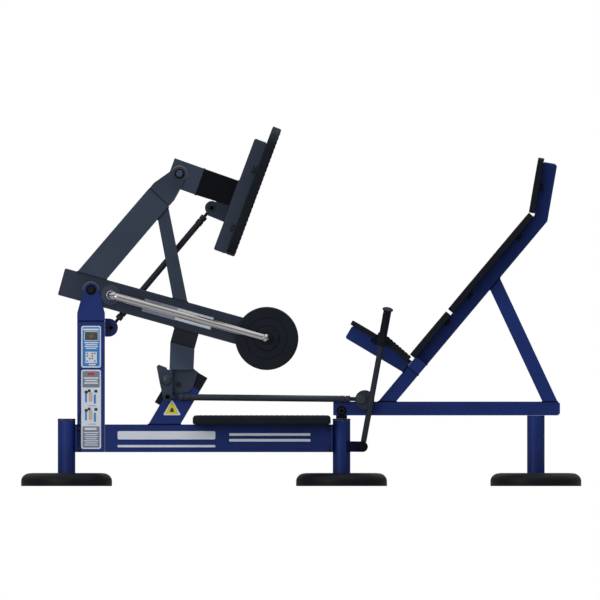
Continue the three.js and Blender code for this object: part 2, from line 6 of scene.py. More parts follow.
import bmesh
import bpy
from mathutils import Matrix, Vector

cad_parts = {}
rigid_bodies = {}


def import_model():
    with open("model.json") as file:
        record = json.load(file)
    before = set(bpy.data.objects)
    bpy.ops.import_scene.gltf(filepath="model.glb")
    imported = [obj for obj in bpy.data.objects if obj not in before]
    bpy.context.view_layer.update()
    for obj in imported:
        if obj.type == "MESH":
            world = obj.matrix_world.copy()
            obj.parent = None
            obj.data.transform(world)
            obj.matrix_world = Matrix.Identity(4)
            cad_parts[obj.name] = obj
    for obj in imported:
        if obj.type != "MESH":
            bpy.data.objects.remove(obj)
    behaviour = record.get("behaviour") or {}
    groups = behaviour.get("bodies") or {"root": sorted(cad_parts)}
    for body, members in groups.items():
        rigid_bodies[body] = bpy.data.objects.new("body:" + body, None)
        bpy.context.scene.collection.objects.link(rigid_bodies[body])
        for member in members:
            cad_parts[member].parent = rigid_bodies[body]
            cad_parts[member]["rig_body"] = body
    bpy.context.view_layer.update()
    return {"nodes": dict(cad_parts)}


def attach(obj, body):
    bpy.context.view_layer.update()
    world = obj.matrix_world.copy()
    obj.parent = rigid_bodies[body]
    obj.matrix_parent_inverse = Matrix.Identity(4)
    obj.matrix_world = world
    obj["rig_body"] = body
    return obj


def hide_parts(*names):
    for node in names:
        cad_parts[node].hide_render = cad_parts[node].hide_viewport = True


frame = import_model()

MM = 0.001
GAP = 0.3  # clearance between touching parts
SIDES = (("near", -1), ("far", 1))
ACROSS = Vector((0, 1, 0))
ALONG = Vector((1, 0, 0))
UP = Vector((0, 0, 1))

# ---------------------------------------------------------------- the CAD model's driving dimensions
POSTS = {"left": -1016.0, "middle": 174.7, "right": 1016.0}
TUBE_HALF = 30.0
MAIN_PIVOT = (-910.2, 850.4)
UPPER_PIVOT = (-527.4, 1352.7)
CHEEK_OUT = 40.0
HORNS = (89.0, 790.0)
BOSS_FACE = 38.0
RAIL_REACH, RAIL_BEND, RAIL_RADIUS = 130.0, 34.0, 16.0
LINK_ENDS = ((-824.0, 686.3), (-387.1, 1205.0))
LINK_Y = 56.0
LUG_FACES = (32.8, 30.8)
CATCH_PIVOT, CATCH_PIN = (-582.4, 460.3), (-578.5, 385.8)
LEVER_PIVOT, LEVER_PIN = (265.9, 170.6), (260.2, 376.7)
LEVER_TOP = Vector((375.4, -239.2, 768.0))
LOCK_Y = -53.0
SEAT_BEAM_BOLT = (174.9, 326.1)
BEAM_TOP = 267.0
SEAT_BEAM_TOP = 366.0
FRAME_DEPTH = 56.0
BACK_DEPTH = 60.0
PLUG_YS = (3 - TUBE_HALF, TUBE_HALF - 3)
SEAM_YS = (4 - TUBE_HALF, TUBE_HALF - 4)
DISC_HALF = 22.5


def sloped(origin, slope):
    """A frame in the XZ plane: u runs slope degrees down towards +X, v is up from it, y is across."""
    c, s = cos(radians(slope)), sin(radians(slope))
    return lambda u, v, y=0.0: Vector((origin[0] + u * c + v * s, y, origin[1] - u * s + v * c))


# each frame's u axis runs along one part: the main arm, the foot board's arm and frame, the stop post,
# the seat, the back rest, and the head rest beyond the back tube's bend
level = sloped((0, 0), 0)
arm = sloped(MAIN_PIVOT, 15.5)
foot_arm = sloped(UPPER_PIVOT, 19.6)
foot = sloped((-378.8, 1027.5), 20.4 - 90)
stop = sloped((-592.5, BEAM_TOP), -59.6)
seat = sloped((223.6, 694), 30.7)
back = sloped((333, SEAT_BEAM_TOP), -50)
bend = back(1053, 0)
head = sloped((bend.x, bend.z), 9.85 - 90)


# ---------------------------------------------------------------- materials
def linear(*channels):
    """An 8-bit sRGB colour as linear RGBA."""
    scaled = [c / 255 for c in channels]
    return (*[c / 12.92 if c <= 0.04045 else ((c + 0.055) / 1.055) ** 2.4 for c in scaled], 1.0)


def tinted(colour, factor):
    """A colour made lighter or darker."""
    return (*[min(1.0, c * factor) for c in colour[:3]], 1.0)


def surface(name, colour, rough, metallic=0.0, grain=900.0, bump=0.05, spread=0.15, edge=0.0, cells=False,
            specular=0.16):
    """A procedural finish: cloudy colour, uneven gloss, a fine grain and a painted highlight on sharp
    edges.
    """
    material = bpy.data.materials.new(name)
    material.use_nodes = True
    tree = material.node_tree
    nodes, link = tree.nodes, tree.links.new
    shader = nodes["Principled BSDF"]
    shader.inputs["Metallic"].default_value = metallic
    shader.inputs["Specular IOR Level"].default_value = 0.5 if metallic else specular
    place = nodes.new("ShaderNodeTexCoord").outputs["Object"]

    def noise(scale, detail):
        """The value of a noise texture."""
        node = nodes.new("ShaderNodeTexNoise")
        node.inputs["Scale"].default_value = scale
        node.inputs["Detail"].default_value = detail
        link(place, node.inputs["Vector"])
        return node.outputs["Fac"]

    def ramp(value, low, high, stops):
        """A colour that goes from the first stop at low to the second at high."""
        node = nodes.new("ShaderNodeValToRGB")
        link(value, node.inputs["Fac"])
        for element, position, shade in zip(node.color_ramp.elements, (low, high), stops):
            element.position, element.color = position, shade
        return node.outputs["Color"]

    tone = ramp(noise(5.0, 5.0), 0.3, 0.7, (tinted(colour, 1 - spread), tinted(colour, 1 + spread)))
    # painted highlight: where edge is set, the sharp edges that the pointiness finds get a lighter tint of
    # the colour, for the light that rounded edges catch
    if edge:
        painted_edge_highlight = nodes.new("ShaderNodeMix")
        painted_edge_highlight.data_type = "RGBA"
        points = nodes.new("ShaderNodeNewGeometry").outputs["Pointiness"]
        lift = ramp(points, 0.51, 0.6, ((0, 0, 0, 1), (edge, edge, edge, 1)))
        link(lift, painted_edge_highlight.inputs["Factor"])
        link(tone, painted_edge_highlight.inputs["A"])
        painted_edge_highlight.inputs["B"].default_value = tinted(colour, 2.6)
        tone = painted_edge_highlight.outputs["Result"]
    link(tone, shader.inputs["Base Color"])
    gloss = ramp(noise(28.0, 3.0), 0.3, 0.75, ((rough * 0.85,) * 3 + (1,), (rough * 1.15,) * 3 + (1,)))
    link(gloss, shader.inputs["Roughness"])

    relief = nodes.new("ShaderNodeBump")
    relief.inputs["Strength"].default_value = bump
    relief.inputs["Distance"].default_value = 0.001
    if cells:
        texture = nodes.new("ShaderNodeTexVoronoi")
        texture.inputs["Scale"].default_value = grain
        link(place, texture.inputs["Vector"])
        link(texture.outputs["Distance"], relief.inputs["Height"])
    else:
        link(noise(grain, 2.0), relief.inputs["Height"])
    link(relief.outputs["Normal"], shader.inputs["Normal"])
    return material


BLUE = surface("blue_powder_coat", linear(24, 42, 100), 0.42, grain=420, bump=0.12, edge=0.5)
# painted shade: a darker copy of the blue paint for the lever bracket and the seat beam lug, which stand
# in shade, and for the frame's weld beads
SHADED_BLUE = surface("blue_in_shade", linear(9, 14, 42), 0.5, grain=420, bump=0.12, edge=0.2, specular=0.05)
GREY = surface("anthracite_powder_coat", linear(44, 53, 68), 0.46, grain=420, bump=0.12, edge=0.5)
# painted shade: a slightly darker copy of the anthracite paint, for the main arm in the shadow of the
# rails; the foot frame, foot lug and horn bosses take it too
ARM = surface("anthracite_in_shade", linear(40, 48, 62), 0.46, grain=420, bump=0.12, edge=0.5)
COVER = surface("moulded_cover", linear(13, 17, 23), 0.5, grain=700, bump=0.15, spread=0.07)
RUBBER = surface("black_rubber", linear(14, 20, 29), 0.62, grain=520, bump=0.4, spread=0.1, cells=True)
PAD = surface("pad_skin", linear(16, 20, 28), 0.5, grain=330, bump=0.35, spread=0.1, cells=True)
IRON = surface("coated_weight", linear(16, 22, 31), 0.5, grain=380, bump=0.3, spread=0.2, edge=0.3)
CHROME = surface("polished_chrome", linear(196, 197, 201), 0.2, 1.0, grain=900, bump=0.01, spread=0.04)
STEEL = surface("blackened_steel", linear(24, 26, 31), 0.36, grain=300, bump=0.1, edge=0.6, specular=0.3)
DOME = surface("plated_steel", linear(44, 51, 62), 0.4, 0.2, grain=300, bump=0.08, edge=0.3)
# black paint for pins and bolt caps; on the foot arm's neck it is also painted shade, for the shadow of
# the foot frame and board
NECK = surface("black_paint_and_shade", linear(12, 14, 18), 0.5, grain=380, bump=0.12, edge=0.2, specular=0.06)
# dark grey paint for bolts, straps and the arm's weld beads; on the arm stub it is painted shade, a darker
# copy of the anthracite paint
SHADE = surface("dark_paint_and_shade", linear(27, 31, 39), 0.46, grain=420, bump=0.12, edge=0.3)
BAR = surface("link_paint", linear(34, 39, 49), 0.42, grain=380, bump=0.12)
NUT = surface("burnished_steel", linear(44, 42, 44), 0.34, 0.3, grain=300, bump=0.1)
HOLE = surface("socket_shadow", linear(3, 3, 4), 0.9, grain=380, bump=0.1, specular=0.0)
ROD = surface("rod_coating", linear(46, 52, 63), 0.4, grain=380, bump=0.12)
PLUG = surface("black_plug", linear(22, 24, 29), 0.5, grain=500, bump=0.2)
# a lighter, warmer grey than the black plugs, for the post caps
CAP = surface("light_grey_plug", linear(44, 42, 44), 0.7, grain=500, bump=0.2, specular=0.08)
STRIP = surface("edge_strip", linear(72, 76, 84), 0.45, grain=200, bump=0.06)
# partly painted highlight: the washers' pale colour stands in for the light ring round the pivot cheeks
WASHER = surface("pale_washer_and_highlight", linear(112, 106, 102), 0.45, grain=200, bump=0.06)


def print_ink(name, colour, spread=0.05):
    """The smooth finish of a printed label."""
    return surface(name, colour, 0.35, grain=200, bump=0.02, spread=spread)


WHITE_PRINT = print_ink("label_white", linear(212, 220, 232), 0.04)
GREY_PRINT = print_ink("label_grey", linear(132, 142, 160))
BLUE_PRINT = print_ink("label_blue", linear(58, 128, 204))
YELLOW_PRINT = print_ink("label_yellow", linear(222, 206, 40))
DARK_PRINT = print_ink("label_dark", linear(44, 60, 84))
SLATE_PRINT = print_ink("label_slate", linear(122, 131, 148), 0.06)
GREEN_PRINT = print_ink("label_green", linear(72, 92, 86), 0.3)
BEIGE_PRINT = print_ink("label_beige", linear(196, 178, 160), 0.06)
RED_PRINT = print_ink("label_red", linear(186, 60, 74))


# ---------------------------------------------------------------- mesh building
def rounded_rectangle(mid, reach, corner, steps):
    """Points round a rectangle; its corner arcs have their centres at mid plus or minus reach."""
    points = []
    for quarter, (su, sv) in enumerate(((1, 1), (-1, 1), (-1, -1), (1, -1))):
        for i in range(steps + 1):
            angle = radians(90 * (quarter + i / steps))
            u, v = mid[0] + su * reach[0], mid[1] + sv * reach[1]
            points.append((u + corner * cos(angle), v + corner * sin(angle)))
    return points


class Shape:
    """Vertices in millimetres and faces with a material index, gathered for one piece."""

    def __init__(self):
        self.points, self.faces, self.paint = [], [], []

    def face(self, corners, paint):
        """Adds one face, given by the numbers of its points."""
        self.faces.append(tuple(corners))
        self.paint.append(paint)

    def loft(self, rings, paint=0, looped=False):
        """Joins rings of equal count; the first and last ring are closed unless the loft is looped."""
        base, count, rounds = len(self.points), len(rings[0]), len(rings)
        for ring in rings:
            self.points.extend(ring)
        for i in range(rounds if looped else rounds - 1):
            near, far = base + i * count, base + (i + 1) % rounds * count
            for j in range(count):
                k = (j + 1) % count
                self.face((near + j, near + k, far + k, far + j), paint)
        if not looped:
            self.face(range(base, base + count), paint)
            self.face(reversed(range(base + (rounds - 1) * count, base + rounds * count)), paint)
        return self

    def revolve(self, centre, axis, profile, segments=48, paint=0, looped=False):
        """Turns (radius, distance) points about an axis; looped where the profile closes on itself."""
        turn = UP.rotation_difference(axis.normalized())
        rings = []
        for radius, distance in profile:
            ring = []
            for j in range(segments):
                angle = 2 * pi * j / segments
                ring.append(centre + turn @ Vector((radius * cos(angle), radius * sin(angle), distance)))
            rings.append(ring)
        return self.loft(rings, paint, looped)

    def tube(self, path, radii, segments, looped=False):
        """A round section carried along a path without twisting; radii is one number or one per point."""
        count = len(path)
        radii = radii if isinstance(radii, list) else [radii] * count
        rings, side = [], None
        for i, point in enumerate(path):
            before = path[(i - 1) % count if looped else max(i - 1, 0)]
            after = path[(i + 1) % count if looped else min(i + 1, count - 1)]
            along = (after - before).normalized()
            if side is None:
                side = along.orthogonal().normalized()
            side = (side - along * side.dot(along)).normalized()
            other = along.cross(side)
            turns = [2 * pi * j / segments for j in range(segments)]
            rings.append([point + (side * cos(a) + other * sin(a)) * radii[i] for a in turns])
        return self.loft(rings, looped=looped)

    def prism(self, outline, near, far, paint=0):
        """An outline in XZ carried across from near to far."""
        return self.loft([[Vector((x, y, z)) for x, z in outline] for y in (near, far)], paint)

    def block(self, place, us, vs, ys, paint=0):
        """A box in a sloped frame."""
        corners = [(us[0], vs[0]), (us[1], vs[0]), (us[1], vs[1]), (us[0], vs[1])]
        return self.loft([[place(u, v, y) for u, v in corners] for y in ys], paint)

    def hexagon(self, centre, axis, radius, start, end, paint=0):
        """A hexagonal head or nut with chamfered ends, from start to end along the axis."""
        chamfer = min(1.6, (end - start) / 4)
        face = radius - 1.8
        profile = [(face, start), (radius, start + chamfer), (radius, end - chamfer), (face, end)]
        return self.revolve(centre, axis, profile, 6, paint)

    def washer(self, centre, axis, radius, start, end):
        """A flat round washer with broken edges, from start to end along the axis."""
        profile = [(radius - 0.8, start), (radius, start + 0.6), (radius, end - 0.6), (radius - 0.8, end)]
        return self.revolve(centre, axis, profile, 40)

    def bolt(self, centre, axis, radius, height, washer):
        """A washer and a rimmed hexagon head standing on a face at centre, towards the axis."""
        self.washer(centre, axis, washer, 0.0, 3.0)
        self.hexagon(centre, axis, radius, 3.0, height)
        inner, outer = radius * 0.5, radius * 0.62
        rim = [(inner, height), (outer, height), (outer, height + 1), (inner, height + 1)]
        return self.revolve(centre, axis, rim, 24, looped=True)

    def socket(self, centre, axis, radius, hole, height, paint=0, dark=1):
        """A low round head with a deep socket: a chamfered ring and the floor inside it, painted black as
        its shadow.
        """
        ring = [(hole, 0.2), (hole, height - 0.8), (hole + 0.8, height), (radius - 1.4, height)]
        ring += [(radius, height - 1.2), (radius, 0.2)]
        self.revolve(centre, axis, ring, 40, paint, looped=True)
        return self.revolve(centre, axis, [(hole + 0.2, 0.3), (hole + 0.2, 0.8), (1, 0.8)], 32, dark)

    def slab(self, place, us, half, vs, corner, edge, crown=0.0):
        """A rounded slab: soft upper edge, a small lower edge and a crowned upper face."""
        low, high = vs
        u_mid, u_half = (us[0] + us[1]) / 2, (us[1] - us[0]) / 2
        levels = [(1.6, low), (0.4, low + 0.9), (0.0, low + 2.4)]
        for a in range(0, 91, 18):
            levels.append((edge * (1 - cos(radians(a))), high - edge + edge * sin(radians(a))))
        span = min(half, u_half) - corner - edge
        levels += [(edge + span * t, high + crown * (1 - (1 - t) ** 2)) for t in (0.08, 0.25, 0.5, 0.8)]
        rings = []
        for inset, v in levels:
            r = max(corner - inset, 1.0)
            outline = rounded_rectangle((u_mid, 0.0), (u_half - inset - r, half - inset - r), r, 6)
            rings.append([place(u, v, y) for u, y in outline])
        return self.loft(rings)

    def bars(self, place, us, columns, base, top, pitch, width, half=0.0, corner=0.0):
        """Raised bars in rows along u, one for each (from, to) column in y, short of rounded corners."""
        count = int((us[1] - us[0] - width) // pitch) + 1
        first = (us[0] + us[1] - (count - 1) * pitch) / 2
        for i in range(count):
            u = first + i * pitch
            into = max(0.0, corner - min(u - us[0], us[1] - u) + width / 2)
            reach = half - corner + sqrt(max(0.0, corner * corner - into * into)) if corner else 1e6
            for start, end in columns:
                start, end = max(start, -reach), min(end, reach)
                if end - start < 4 * width:
                    continue
                rings = []
                for v, draw in ((base, 0.0), (top - 0.5, 0.9), (top, 1.7)):
                    u0, u1 = u - width / 2 + draw, u + width / 2 - draw
                    y0, y1 = start + draw, end - draw
                    rings.append([place(a, v, b) for a, b in ((u0, y0), (u1, y0), (u1, y1), (u0, y1))])
                self.loft(rings)
        return self


def soften(obj, bevel):
    """Smooth shading that keeps flat faces flat, with the sharp edges rounded by bevel millimetres."""
    obj.data.shade_smooth()
    if bevel:
        rounding = obj.modifiers.new("rounding", "BEVEL")
        rounding.width = bevel * MM
        rounding.segments = 3
        rounding.limit_method = "ANGLE"
        rounding.angle_limit = radians(28)
    else:
        obj.data.set_sharp_from_angle(angle=radians(38))
    weighted = obj.modifiers.new("normals", "WEIGHTED_NORMAL")
    weighted.keep_sharp = True


def finish_piece(obj, body, materials, replaces):
    """Gives an object its materials and the body that it rides on, and hides the nodes that it stands in
    for.
    """
    for material in materials:
        obj.data.materials.append(material)
    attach(obj, body)
    if replaces:
        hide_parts(*replaces)
    return obj


def piece(name, shape, body, materials, replaces=(), bevel=0.0):
    """Makes a piece from a gathered shape and lets it ride on a body."""
    materials = materials if isinstance(materials, tuple) else (materials,)
    mesh = bpy.data.meshes.new(name)
    mesh.from_pydata([point * MM for point in shape.points], [], shape.faces)
    mesh.polygons.foreach_set("material_index", shape.paint)
    solid = bmesh.new()
    solid.from_mesh(mesh)
    bmesh.ops.recalc_face_normals(solid, faces=solid.faces)
    solid.to_mesh(mesh)
    solid.free()
    obj = bpy.data.objects.new(name, mesh)
    bpy.context.scene.collection.objects.link(obj)
    soften(obj, bevel)
    return finish_piece(obj, body, materials, replaces)


def rounded_node(node, material, bevel):
    """A copy of a CAD node with its flat faces made whole and its edges rounded; it replaces the node."""
    source = frame["nodes"][node]
    mesh = source.data.copy()
    mesh.materials.clear()
    solid = bmesh.new()
    solid.from_mesh(mesh)
    bmesh.ops.remove_doubles(solid, verts=solid.verts, dist=2e-5)
    bmesh.ops.dissolve_limit(solid, angle_limit=radians(0.6), verts=solid.verts, edges=solid.edges)
    solid.to_mesh(mesh)
    solid.free()
    obj = bpy.data.objects.new(f"{node}_shell", mesh)
    bpy.context.scene.collection.objects.link(obj)
    soften(obj, bevel)
    return finish_piece(obj, source["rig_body"], (material,), (node,))


def both(xz, y):
    """The near and far point at a place in the side view, each with its outward direction."""
    return [(level(*xz, side * y), ACROSS * side) for _, side in SIDES]


# ---------------------------------------------------------------- camera and light
camera = bpy.data.objects.new("camera", bpy.data.cameras.new("camera"))
camera.data.type = "ORTHO"
camera.data.ortho_scale = 2.598
camera.location = (-0.0052, -8.0, 0.8058)
camera.rotation_euler = (radians(90), 0, 0)
bpy.context.scene.collection.objects.link(camera)
bpy.context.scene.camera = camera
bpy.context.scene.view_settings.view_transform = "Standard"


def area_light(name, place, target, size, power, colour, glossy=True):
    """A square light turned towards a target; a light that isn't glossy leaves no highlight."""
    light = bpy.data.lights.new(name, "AREA")
    light.shape, light.size, light.energy, light.color = "SQUARE", size, power, colour
    obj = bpy.data.objects.new(name, light)
    obj.location = place
    obj.visible_glossy = glossy
    obj.rotation_euler = (Vector(target) - Vector(place)).to_track_quat("-Z", "Y").to_euler()
    bpy.context.scene.collection.objects.link(obj)


area_light("key", (-3.4, -4.9, 1.6), (-0.1, 0, 0.6), 2.2, 82, (0.97, 0.99, 1.0))
area_light("top", (1.2, 0.3, 4.6), (-0.1, 0, 0.6), 2.6, 360, (1.0, 0.88, 0.78), False)
area_light("front", (-0.9, -6.0, 0.5), (-0.1, 0, 0.4), 3.0, 96, (0.97, 0.98, 1.0), False)
area_light("back", (2.5, 4.2, 3.0), (0, 0, 0.7), 2.4, 90, (0.92, 0.96, 1.0), False)


def make_world():
    """White behind the object; light comes from a sky that is bright above and dim at the sides."""
    world = bpy.data.worlds.new("studio")
    bpy.context.scene.world = world
    world.use_nodes = True
    nodes, link = world.node_tree.nodes, world.node_tree.links.new
    nodes.clear()
    height = nodes.new("ShaderNodeSeparateXYZ")
    link(nodes.new("ShaderNodeTexCoord").outputs["Generated"], height.inputs["Vector"])
    spread = nodes.new("ShaderNodeMapRange")
    spread.inputs["From Min"].default_value = -1.0
    link(height.outputs["Z"], spread.inputs["Value"])
    sky = nodes.new("ShaderNodeValToRGB")
    stops = sky.color_ramp.elements
    stops[0].position, stops[0].color = 0.35, (0.02, 0.021, 0.024, 1)
    stops[1].position, stops[1].color = 0.93, (1.0, 0.95, 0.89, 1)
    middle = stops.new(0.55)
    middle.color = (0.09, 0.095, 0.105, 1)
    link(spread.outputs["Result"], sky.inputs["Fac"])
    lit, seen = nodes.new("ShaderNodeBackground"), nodes.new("ShaderNodeBackground")
    link(sky.outputs["Color"], lit.inputs["Color"])
    seen.inputs["Color"].default_value = (1, 1, 1, 1)
    mix = nodes.new("ShaderNodeMixShader")
    link(nodes.new("ShaderNodeLightPath").outputs["Is Camera Ray"], mix.inputs["Fac"])
    link(lit.outputs["Background"], mix.inputs[1])
    link(seen.outputs["Background"], mix.inputs[2])
    link(mix.outputs["Shader"], nodes.new("ShaderNodeOutputWorld").inputs["Surface"])


def make_floor():
    """A pale floor that stays nearly white, with only a soft contact shadow."""
    mesh = bpy.data.meshes.new("floor")
    corners = [(-9, -9, -0.001), (9, -9, -0.001), (9, 9, -0.001), (-9, 9, -0.001)]
    mesh.from_pydata(corners, [], [(0, 1, 2, 3)])
    floor = bpy.data.objects.new("floor", mesh)
    bpy.context.scene.collection.objects.link(floor)
    material = bpy.data.materials.new("floor")
    material.use_nodes = True
    nodes, link = material.node_tree.nodes, material.node_tree.links.new
    nodes.clear()
    matt, glow = nodes.new("ShaderNodeBsdfDiffuse"), nodes.new("ShaderNodeEmission")
    matt.inputs["Color"].default_value = (0.12, 0.12, 0.12, 1)
    rays = nodes.new("ShaderNodeLightPath").outputs
    strength = None
    for ray, share in (("Is Camera Ray", 0.93), ("Is Glossy Ray", 0.3), ("Is Diffuse Ray", 0.07)):
        term = nodes.new("ShaderNodeMath")
        term.operation = "MULTIPLY_ADD"
        term.inputs[1].default_value = share
        term.inputs[2].default_value = 0.0
        link(rays[ray], term.inputs[0])
        if strength:
            link(strength, term.inputs[2])
        strength = term.outputs["Value"]
    link(strength, glow.inputs["Strength"])
    shaders = nodes.new("ShaderNodeAddShader")
    link(matt.outputs["BSDF"], shaders.inputs[0])
    link(glow.outputs["Emission"], shaders.inputs[1])
    link(shaders.outputs["Shader"], nodes.new("ShaderNodeOutputMaterial").inputs["Surface"])
    mesh.materials.append(material)


make_world()
make_floor()

# ---------------------------------------------------------------- tubes and plates
ROUNDED = (
    (BLUE, 2.6, "main_beam upright stop_post seat_beam seat_strut seat_cross_tube"),
    (BLUE, 2.6, "back_tube rear_strut seat_tube"),
    (BLUE, 1.2, "upright_cheek_near upright_cheek_far link_lug"),
    # painted shade: the lever bracket and the seat beam lug take the shaded blue
    (SHADED_BLUE, 1.2, "lever_bracket seat_beam_lug"),
    (GREY, 2.6, "upper_arm arm_brace foot_arm_head"),
    (ARM, 2.6, "main_arm"),
    (GREY, 0.6, "support_column"),
    # painted shade: the arm stub under the arm takes the dark paint
    (SHADE, 2.6, "arm_stub"),
    (ARM, 2.6, "foot_frame_near foot_frame_far foot_frame_lower foot_frame_middle foot_frame_upper"),
    (GREY, 1.2, "arm_cheek_near arm_cheek_far stop_cheek_near stop_cheek_far"),
    (ARM, 1.2, "foot_lug"),
    (GREY, 1.2, "catch_plate_near catch_plate_far"),
    # painted shade: the foot arm's neck is near-black, standing in for the shadow that the foot frame and
    # board cast on it
    (NECK, 2.6, "foot_arm_neck"),
    (RUBBER, 1.6, "stop_buffer stop_side_pad"),
)
for material, bevel, nodes in ROUNDED:
    for node in nodes.split():
        rounded_node(node, material, bevel)


# ---------------------------------------------------------------- feet and posts
def foot_cover(place, x):
    """A moulded cover: rounded shoulder, a flat top with a shallow groove, and the hole for the post."""
    shoulder = [(158 + 39 * cos(radians(a)), 21 + 35 * sin(radians(a))) for a in range(0, 91, 9)]
    groove = [(118, 57), (116.5, 55.8), (113.5, 55.8), (112, 57)]
    neck = [(44, 57), (42, 56.4), (38.4, 55), (38.4, 52)]
    profile = [(196, 0), (197, 3), *shoulder, (150, 56.8), *groove, *neck, (153, 51), (190, 20), (191, 0)]
    piece(
        f"foot_cover_{place}_moulding",
        Shape().revolve(Vector((x, 0, 0)), UP, profile, 96, looped=True),
        "frame",
        COVER,
        (f"foot_cover_{place}",),
    )


def post(place, x):
    """A foot plate, a weld and the tube; the right post ends under the seat beam, the others in a plug."""
    base = Vector((x, 0, 0))
    top, cap = (305.7, None) if place == "right" else (285.0, 292.2)
    plate = [(1, 0.2), (74, 0.2), (75, 1.2), (75, 13), (74, 14)]
    weld = [(44, 14), (41.5, 15.2), (39.2, 17.5), (38, 21)]
    profile = [*plate, *weld, (38, top - 1), (37, top), (1, top)]
    piece(f"post_{place}_tube", Shape().revolve(base, UP, profile, 72), "frame", BLUE, (f"post_{place}",))
    if cap is None:
        return
    rim = [(1, top + 0.1), (38.6, top + 0.1), (38.6, cap - 2), (37.8, cap - 0.4), (36, cap), (1, cap)]
    piece(f"post_{place}_cap", Shape().revolve(base, UP, rim, 72), "frame", CAP)


for place, x in POSTS.items():
    foot_cover(place, x)
    post(place, x)


# ---------------------------------------------------------------- pins, bolts and caps
def pivot_pin(name, centre, body, node, head):
    """A pivot bolt: shaft, a dark ring and a hexagon head on both sides, each over a pale washer whose
    light colour is partly a painted highlight round the pivot.
    """
    cap = [(20, 0), (21.5, 1.2), (21.5, 5), (20.4, 6.2), (17.4, 6.2), (17.2, 4.6), (1, 4.6)]
    ring = [(16, 0), (34.8, 0), (35.4, 0.4), (35.4, 1.0), (34.8, 1.4), (16, 1.4)]
    shape = Shape().revolve(level(*centre), ACROSS, [(15, -41), (15, 41)], 40)
    for place, outwards in both(centre, CHEEK_OUT + GAP):
        shape.revolve(place, outwards, cap, 48)
        shape.hexagon(place, outwards, 15.8, 4.4, 12, 1)
    piece(name, shape, body, (NECK, head), (node,))
    for (side, _), (place, outwards) in zip(SIDES, both(centre, TUBE_HALF + GAP)):
        washer = Shape().revolve(place, outwards, ring, 64, looped=True)
        piece(f"{name}_washer_{side}", washer, body, WASHER)


def seat_beam_bolt():
    """The bolt that the seat beam hangs on: a cap, a hexagon head and a rimmed socket on both sides."""
    cap = [(20.4, 0), (21.4, 0.8), (21.4, 3), (20.4, 4), (1, 4)]
    rim = [(7, 9.6), (10, 9.6), (10, 11.4), (9.2, 12), (7, 12)]
    shape = Shape()
    for place, outwards in both(SEAT_BEAM_BOLT, TUBE_HALF + GAP):
        shape.revolve(place, outwards, cap, 48)
        shape.hexagon(place, outwards, 15, 4, 10, 2)
        shape.revolve(place, outwards, rim, 32, 2, looped=True)
        shape.revolve(place, outwards, [(7.1, 9.8), (7.1, 10.3), (1, 10.3)], 32, 1)
    shape.revolve(level(*SEAT_BEAM_BOLT), ACROSS, [(8, -30.5), (8, 30.5)], 32)
    piece("seat_beam_pivot_bolt", shape, "frame", (NECK, HOLE, SHADE), ("seat_beam_bolt",))


pivot_pin("main_pivot_bolt", MAIN_PIVOT, "frame", "main_pivot_pin", COVER)
pivot_pin("upper_pivot_bolt", UPPER_PIVOT, "press_arm", "upper_pivot_pin", GREY)
seat_beam_bolt()

flange_bolts = Shape()
for x, direction, y, heights in ((129.0, -1, 40.5, (250, 162)), (-969.0, 1, 29, (250, 161))):
    for z in heights:
        for _, side in SIDES:
            flange_bolts.bolt(Vector((x, side * y, z)), ALONG * direction, 9.5, 12.5, 9.4)
piece("flange_bolts", flange_bolts, "frame", STEEL)

cheek_bolt = Shape()
for place, outwards in both((-531, 441), 38.6):
    cheek_bolt.socket(place, outwards, 12.8, 3.0, 3.4)
piece("stop_cheek_bolt", cheek_bolt, "frame", (SHADE, HOLE))

lever_bolt = Shape()
cap = [(1, 0.2), (19, 0.2), (20, 1.2), (20, 4.4), (18.6, 5.8), (1, 6.2)]
for place, outwards in both(LEVER_PIVOT, 38.1):
    lever_bolt.revolve(place, outwards, cap, 48)
    lever_bolt.hexagon(place, outwards, 10, 6, 8.6)
piece("lever_pivot_bolt", lever_bolt, "frame", NECK)


def link_fastener(name, centre, lug_face, body):
    """The bolt through a lug and the link rod's eye: socketed near head, nut beyond the eye."""
    shape = Shape().socket(level(*centre, lug_face), -ACROSS, 15.5, 7.5, 3.4)
    shape.washer(level(*centre), ACROSS, 14, 64.6, 66.8)
    shape.hexagon(level(*centre), ACROSS, 12, 66.8, 76)
    piece(name, shape, body, (STEEL, HOLE))


link_fastener("link_lug_bolt", LINK_ENDS[0], LUG_FACES[0], "frame")
link_fastener("foot_lug_bolt", LINK_ENDS[1], LUG_FACES[1], "foot_carriage")


def caps(name, body, blocks, material=PLUG):
    """Plugs in tube ends and thin fillings between parts, each a low box with rounded edges."""
    shape = Shape()
    for place, us, vs, ys in blocks:
        shape.block(place, us, vs, ys)
    piece(name, shape, body, material, bevel=1.4)


caps("arm_end_plugs", "press_arm", [(arm, us, (-57, 57), PLUG_YS) for us in ((-133, -130), (850, 853))])
caps(
    "frame_end_plugs",
    "frame",
    [
        (level, (1119, 1120.6), (311, 361), PLUG_YS),
        (level, (138.4, 140), (309, 363), PLUG_YS),
        (head, (232, 235), (-52, -3), PLUG_YS),
        *[(back, (202, 255), (-57, -3), ends) for ends in ((-123, -120), (120, 123))],
    ],
    BLUE,
)
caps(
    "foot_frame_plugs",
    "foot_carriage",
    [
        (foot, us, (3 - FRAME_DEPTH, -3), ys)
        for us in ((-2.6, 0), (508, 510.6))
        for ys in ((-187, -153), (153, 187))
    ],
)


# ---------------------------------------------------------------- welds
def bead(shape, corners, closed=True, radius=3.0):
    """A rippled weld bead through the given corners."""
    path = []
    legs = list(zip(corners, corners[1:] + corners[:1])) if closed else list(zip(corners, corners[1:]))
    for start, end in legs:
        steps = max(2, int((end - start).length / 3.2))
        path += [start.lerp(end, i / steps) for i in range(steps)]
    if not closed:
        path.append(corners[-1])
    radii = [radius * (1.0 + 0.14 * (-1) ** (i // 2)) for i in range(len(path))]
    shape.tube(path, radii, 8, looped=closed)


def across(start, end, half):
    """The four corners of a joint seen edge-on as the line from start to end."""
    return [level(*point, y) for point, y in ((start, -half), (end, -half), (end, half), (start, half))]


def flat(point):
    """A point's place in the side view."""
    return (point.x, point.z)


